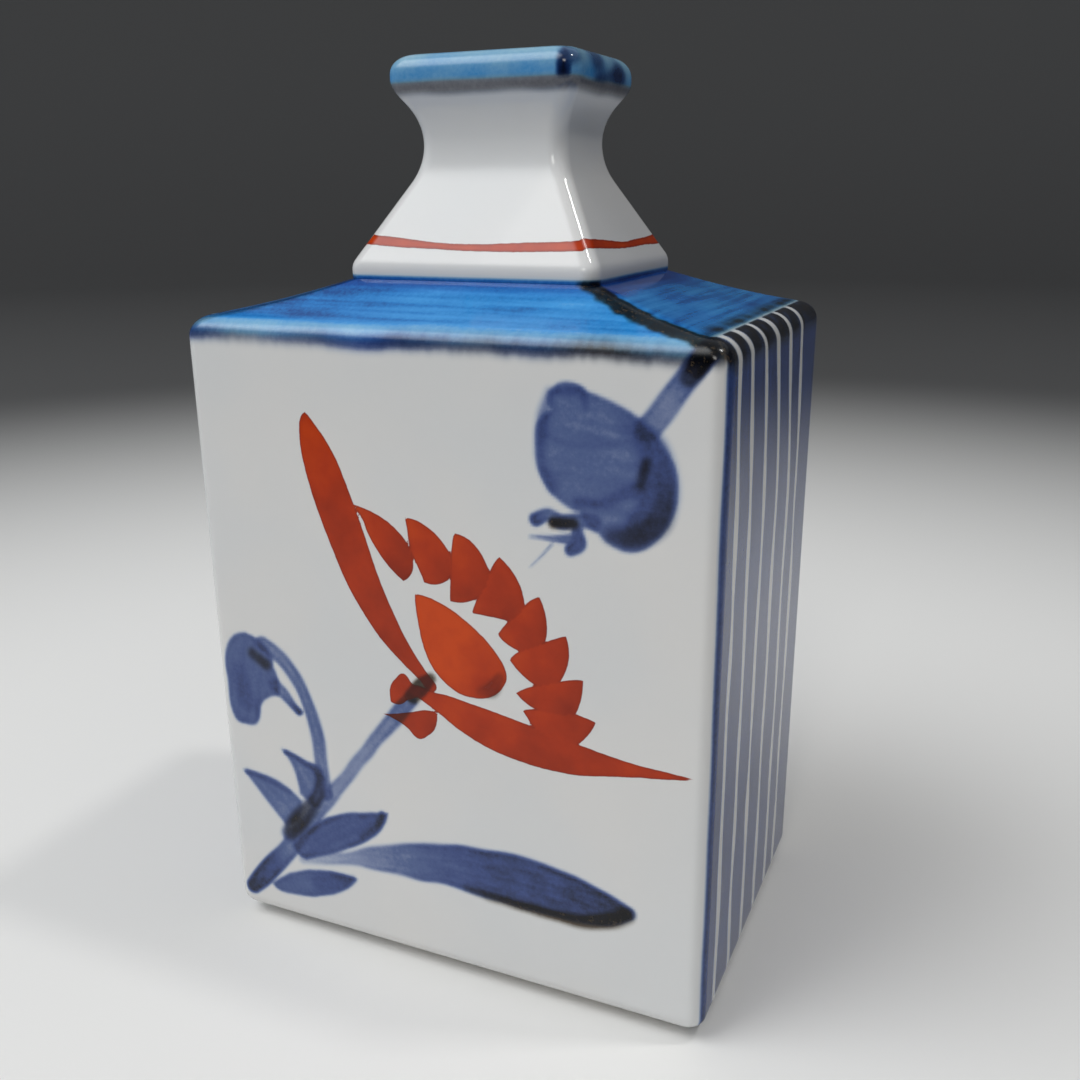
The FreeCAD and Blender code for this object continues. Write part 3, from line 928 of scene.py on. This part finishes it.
def paint_neck():
    """Red line round the foot of the neck and a blue lip with a grey lower edge."""
    place = np.nonzero((np.arange(len(row_height))[:, None] > landing_row)
                       & np.ones(net_side.shape, bool))
    side, across, height = net_side[place], net_across[place], net_height[place]
    row = place[0]
    outside = row < landing_row + np.argmax(row_height[landing_row:]) + 1
    share = across / neck_foot_half
    sag = 0.75 * (share - 0.15) ** 2
    middle = red_line_height + sag + 0.10 * ripple(across + side * 50, 0, 14.0, 13)
    half = 0.40 + 0.30 * np.abs(share) ** 1.5
    half = half + 0.05 * ripple(across + side * 50, 0, 9.0, 14)
    inside = np.where(outside, half - np.abs(height - middle), -red_reach)
    red_inside[place] = np.maximum(red_inside[place], inside)
    net_paint["red_tone"][place] = 0.35
    # The lip, deeper blue towards its lower edge and paler towards its top, with dark smears near
    # the corners
    round_lip = across + side * 30
    wander = 0.16 * ripple(round_lip, 0, 14.0, 15)
    blue_low = lip_blue_low + wander
    grey_low = lip_grey_low + wander + 0.10 * ripple(round_lip, 0, 9.0, 16)
    in_bore = ~outside
    blue = rise(height, blue_low - 0.3, blue_low + 0.35)
    blue = np.where(in_bore, rise(height, bore_blue_low, bore_blue_low + 1.0), blue)
    # The lip's blue is light all over and paler towards the top: partly thinner blue on the arris,
    # partly a painted highlight
    thin_blue_and_highlight = rise(height, blue_low + 0.6, lip_top)
    blotch = ripple(round_lip, height * 1.6, 9.0, 17)
    azure = blue * (0.53 + 0.06 * blotch - 0.20 * thin_blue_and_highlight)
    grey = rise(height, grey_low - 0.4, grey_low + 0.7) * (1 - 0.8 * blue) * outside
    corner_smear = rise(0.5 - np.abs(across - smear_across), -0.7, 0.4) * (side % 2 == 0)
    blots = ripple(across * 0.8 + side * 31, height, 6.5, 18)
    side_blots = 0.70 * rise(blots, -0.3, 1.1) * (side % 2 == 1)
    dark = (corner_smear + side_blots) * blue * (1 - 0.5 * thin_blue_and_highlight) * outside
    net_paint["azure"][place] = np.clip(azure, 0, 0.97)
    net_paint["cobalt"][place] = np.clip(0.22 * grey + 0.8 * dark, 0, 0.97)
    net_paint["iron"][place] = np.clip(0.46 * grey + 0.5 * dark, 0, 0.97)


def paint_bottle():
    paint_stripes()
    paint_neck()
    paint_shoulder()
    front = Face(0)
    paint_stem(front)
    paint_flower(front)
    paint_hanging_bud(front)
    paint_stem(Face(2, mirror=-1))
    paint_hanging_bud(Face(2, mirror=-1))
    net_paint["red"] = np.clip(0.5 + red_inside / (2 * red_reach), 0, 1)


# ------------------------------------------------------------------------------ the pieces

map_visible = (0.13, 0.995)     # part of the unwrapped map's height for the painted patch
map_hidden = (0.05, 0.12)       # and for the faces against other pieces
map_caps = ((0.004, 0.020), (0.026, 0.042))
inner_corner = 0.6              # rounding of the hidden inner rows


def make_piece(name, rows, picked, hidden_rows, material, closed, crease=None):
    """Closed mesh: the net's rows, from which hidden rows lead back to the first one.

    picked are the net's columns; a piece that goes all the way round is closed, and any other
    has a flat cap at its first and last column. crease names a visible row at a sharp joint
    and the row beside it that has the right normals for it.
    """
    visible = len(rows)
    hidden = [rounded_rows(*row)[0][0] for row in hidden_rows]
    grid = np.concatenate([net[rows][:, picked], np.array(hidden)[:, picked]])
    total, wide = grid.shape[:2]
    steps = wide if closed else wide - 1
    i, j = np.meshgrid(np.arange(total), np.arange(steps), indexing="ij")
    above = (i + 1) % total
    beyond = (j + 1) % wide
    quads = np.stack([i * wide + j, i * wide + beyond, above * wide + beyond, above * wide + j], 2)
    faces = quads.reshape(-1, 4).tolist()
    if not closed:
        faces.append([row * wide for row in range(total)])
        faces.append([row * wide + wide - 1 for row in reversed(range(total))])
    mesh = bpy.data.meshes.new(name)
    mesh.from_pydata((grid.reshape(-1, 3) * MM).tolist(), [], faces)
    mesh.materials.append(material)
    for layer in paint_layers:
        values = np.zeros((total, wide))
        values[:visible] = net_paint[layer][rows][:, picked]
        mesh.attributes.new(layer, "FLOAT", "POINT").data.foreach_set("value", values.ravel())
    own_normals = net_normal[rows][:, picked]
    if crease:
        own_normals[crease[0]] = own_normals[crease[1]]
    set_normals(mesh, own_normals.reshape(-1, 3), 4 * steps * (visible - 1))
    unwrap(mesh, grid, visible, total, wide, steps, closed)
    piece = bpy.data.objects.new(name, mesh)
    bpy.context.collection.objects.link(piece)
    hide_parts(name)
    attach(piece, "root")
    return piece


def set_normals(mesh, own_normals, smooth_loops):
    """The net's own normals on the visible patch, and flat faces elsewhere."""
    mesh.shade_smooth()
    normals = np.zeros(len(mesh.polygons) * 3)
    mesh.polygons.foreach_get("normal", normals)
    normals = normals.reshape(-1, 3)
    corners = np.zeros(len(mesh.loops), int)
    mesh.loops.foreach_get("vertex_index", corners)
    sizes = np.zeros(len(mesh.polygons), int)
    mesh.polygons.foreach_get("loop_total", sizes)
    loop_normals = np.repeat(normals, sizes, axis=0)
    loop_normals[:smooth_loops] = own_normals[corners[:smooth_loops]]
    mesh.normals_split_custom_set(loop_normals.tolist())


def unwrap(mesh, grid, visible, total, wide, steps, closed):
    """Flat map for baking: the visible patch on top, then hidden rows, then the two caps."""
    ring = grid[visible // 2]
    walk = np.linalg.norm(np.diff(np.vstack([ring, ring[:1]]), axis=0), axis=1)[:steps]
    u = 0.003 + 0.994 * np.concatenate([[0], np.cumsum(walk)]) / walk.sum()
    middle = grid[:visible, wide // 2]
    climb = np.linalg.norm(np.diff(middle, axis=0), axis=1)
    v = np.interp(np.concatenate([[0], np.cumsum(climb)]), (0, climb.sum()), map_visible)
    back = np.linspace(*map_hidden, total - visible + 2)
    low = np.concatenate([v[:-1], back[:-1]])
    high = np.concatenate([v[1:], back[1:]])
    i, j = np.meshgrid(np.arange(total), np.arange(steps), indexing="ij")
    corners = np.stack([
        np.stack([u[j], low[i]], 2), np.stack([u[j + 1], low[i]], 2),
        np.stack([u[j + 1], high[i]], 2), np.stack([u[j], high[i]], 2),
    ], 2).reshape(-1, 2)
    if not closed:
        for column, order, strip in ((0, 1, map_caps[0]), (wide - 1, -1, map_caps[1])):
            cap = grid[::order, column]
            depth = np.hypot(cap[:, 0], cap[:, 1])
            cap_u = np.interp(cap[:, 2], (cap[:, 2].min(), cap[:, 2].max()), (0.003, 0.997))
            cap_v = np.interp(depth, (depth.min(), depth.max()), strip)
            corners = np.vstack([corners, np.column_stack([cap_u, cap_v])])
    layer = mesh.uv_layers.new(name="OFBake")
    layer.data.foreach_set("uv", corners.ravel())


def make_walls(glaze):
    inner_x = half_width - wall
    inner_y = half_depth - wall
    hidden = [
        (inner_x, inner_y, seam_height, inner_corner),
        (inner_x, inner_y, (seam_height + foot_top) / 2, inner_corner),
        (inner_x, inner_y, foot_top, inner_corner),
    ]
    rows = np.arange(seam_row + 1)
    names = ("front_wall", "right_wall", "back_wall", "left_wall")
    for side, name in enumerate(names):
        picked = np.arange(side_start[side], side_start[side + 1] + 1) % column_count
        make_piece(name, rows, picked, hidden, glaze, closed=False)


def make_shoulder(glaze):
    rows = np.arange(seam_row, landing_row + 1)
    thickness = landing_height - spigot_low + 0.1
    inner_x = half_width - wall
    inner_y = half_depth - wall
    hole_y = spigot_half - neck_depth_less
    hidden = [
        (spigot_half, hole_y, landing_height, corner_round),
        (spigot_half, hole_y, landing_height - thickness, corner_round),
    ]
    for row in range(landing_row, seam_row, -8):
        under = row_height[row] - thickness
        if under > seam_height + 0.3:
            hidden.append((min(half_x[row], inner_x), min(half_y[row], inner_y), under, 1.0))
    hidden.append((inner_x, inner_y, seam_height, inner_corner))
    make_piece("shoulder", rows, np.arange(column_count), hidden, glaze,
               closed=True, crease=(-1, -2))


def make_neck(glaze):
    rows = np.arange(landing_row, len(row_height))
    hidden = [
        (spigot_half, spigot_half - neck_depth_less, spigot_low, corner_round),
        (spigot_half, spigot_half - neck_depth_less, landing_height, corner_round),
    ]
    picked = np.arange(0, column_count, neck_stride)
    make_piece("neck", rows, picked, hidden, glaze, closed=True, crease=(0, 1))


def dress_cad_node(name, material):
    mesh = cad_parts[name].data
    mesh.materials.clear()
    mesh.materials.append(material)


make_camera()
make_light()
make_stage().data.materials.append(pale_floor())
glaze = glazed_porcelain()
paint_bottle()
make_walls(glaze)
make_shoulder(glaze)
make_neck(glaze)
dress_cad_node("base", glaze)
dress_cad_node("foot_ring", bare_clay())
